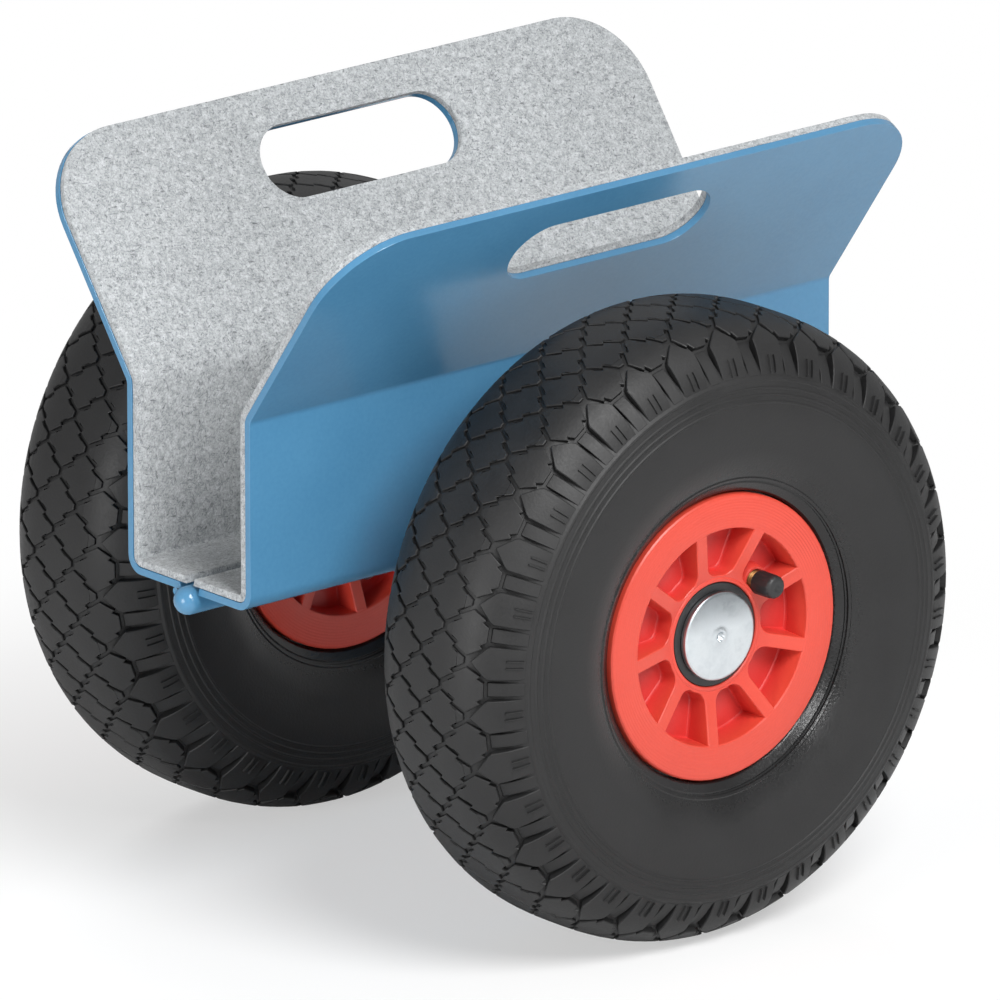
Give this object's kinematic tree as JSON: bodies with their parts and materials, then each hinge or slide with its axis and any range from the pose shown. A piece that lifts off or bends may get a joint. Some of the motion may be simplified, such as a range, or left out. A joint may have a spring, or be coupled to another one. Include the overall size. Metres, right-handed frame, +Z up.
{
  "type": "sheet goods cart",
  "caption": "Self-clamping panel cart: felt-lined sheet-steel jaws with hand slots, hinged along the bottom, each on its own stub axle with a pneumatic tyre on a red spoked rim.",
  "frame": {"origin": "on the floor, midway between the wheels, under the middle of the channel", "axes": "+X along the channel, the way it rolls; +Y to the left wheel; +Z up"},
  "size_m": [0.3196, 0.312, 0.312],
  "materials": {
    "blue_paint": "satin-gloss powder coat",
    "grey_felt": "mottled wool felt",
    "tread_rubber": "moulded rubber",
    "tube_rubber": "smooth rubber",
    "red_plastic": "satin moulded",
    "black_plastic": "satin moulded",
    "zinc_plate": "bright zinc",
    "bare_steel": "drawn steel",
    "valve_brass": "turned brass"
  },
  "bodies": {
    "left_half": {"left_jaw": "blue_paint", "left_felt": "grey_felt", "left_axle_carrier": "blue_paint", "left_axle": "bare_steel", "left_spacer": "bare_steel", "left_axle_cap": "zinc_plate", "left_front_knuckle": "blue_paint", "left_rear_knuckle": "blue_paint", "front_hinge_pin": "bare_steel", "rear_hinge_pin": "bare_steel"},
    "right_half": {"right_jaw": "blue_paint", "right_felt": "grey_felt", "right_axle_carrier": "blue_paint", "right_axle": "bare_steel", "right_spacer": "bare_steel", "right_axle_cap": "zinc_plate", "right_front_knuckle": "blue_paint", "right_rear_knuckle": "blue_paint"},
    "left_wheel": {"left_tyre": "tread_rubber", "left_inner_tube": "tube_rubber", "left_rim_outer": "red_plastic", "left_rim_inner": "red_plastic", "left_bush_outer": "black_plastic", "left_bush_inner": "black_plastic", "left_valve_stem": "valve_brass", "left_valve_cap": "black_plastic", "left_rim_screw_1": "bare_steel", "left_rim_screw_2": "bare_steel", "left_rim_screw_3": "bare_steel"},
    "right_wheel": {"right_tyre": "tread_rubber", "right_inner_tube": "tube_rubber", "right_rim_outer": "red_plastic", "right_rim_inner": "red_plastic", "right_bush_outer": "black_plastic", "right_bush_inner": "black_plastic", "right_valve_stem": "valve_brass", "right_valve_cap": "black_plastic", "right_rim_screw_1": "bare_steel", "right_rim_screw_2": "bare_steel", "right_rim_screw_3": "bare_steel"}
  },
  "joints": [
    {"name": "jaw_hinge", "type": "hinge", "parent": "left_half", "child": "right_half", "pos_m": [0, 0, 0.1421], "axis": [-1, 0, 0], "range_deg": [0, 32]},
    {"name": "left_wheel_spin", "type": "hinge", "parent": "left_half", "child": "left_wheel", "pos_m": [0, 0.114, 0.13], "axis": [0, 1, 0], "continuous": true},
    {"name": "right_wheel_spin", "type": "hinge", "parent": "right_half", "child": "right_wheel", "pos_m": [0, -0.114, 0.13], "axis": [0, 1, 0], "continuous": true}
  ]
}
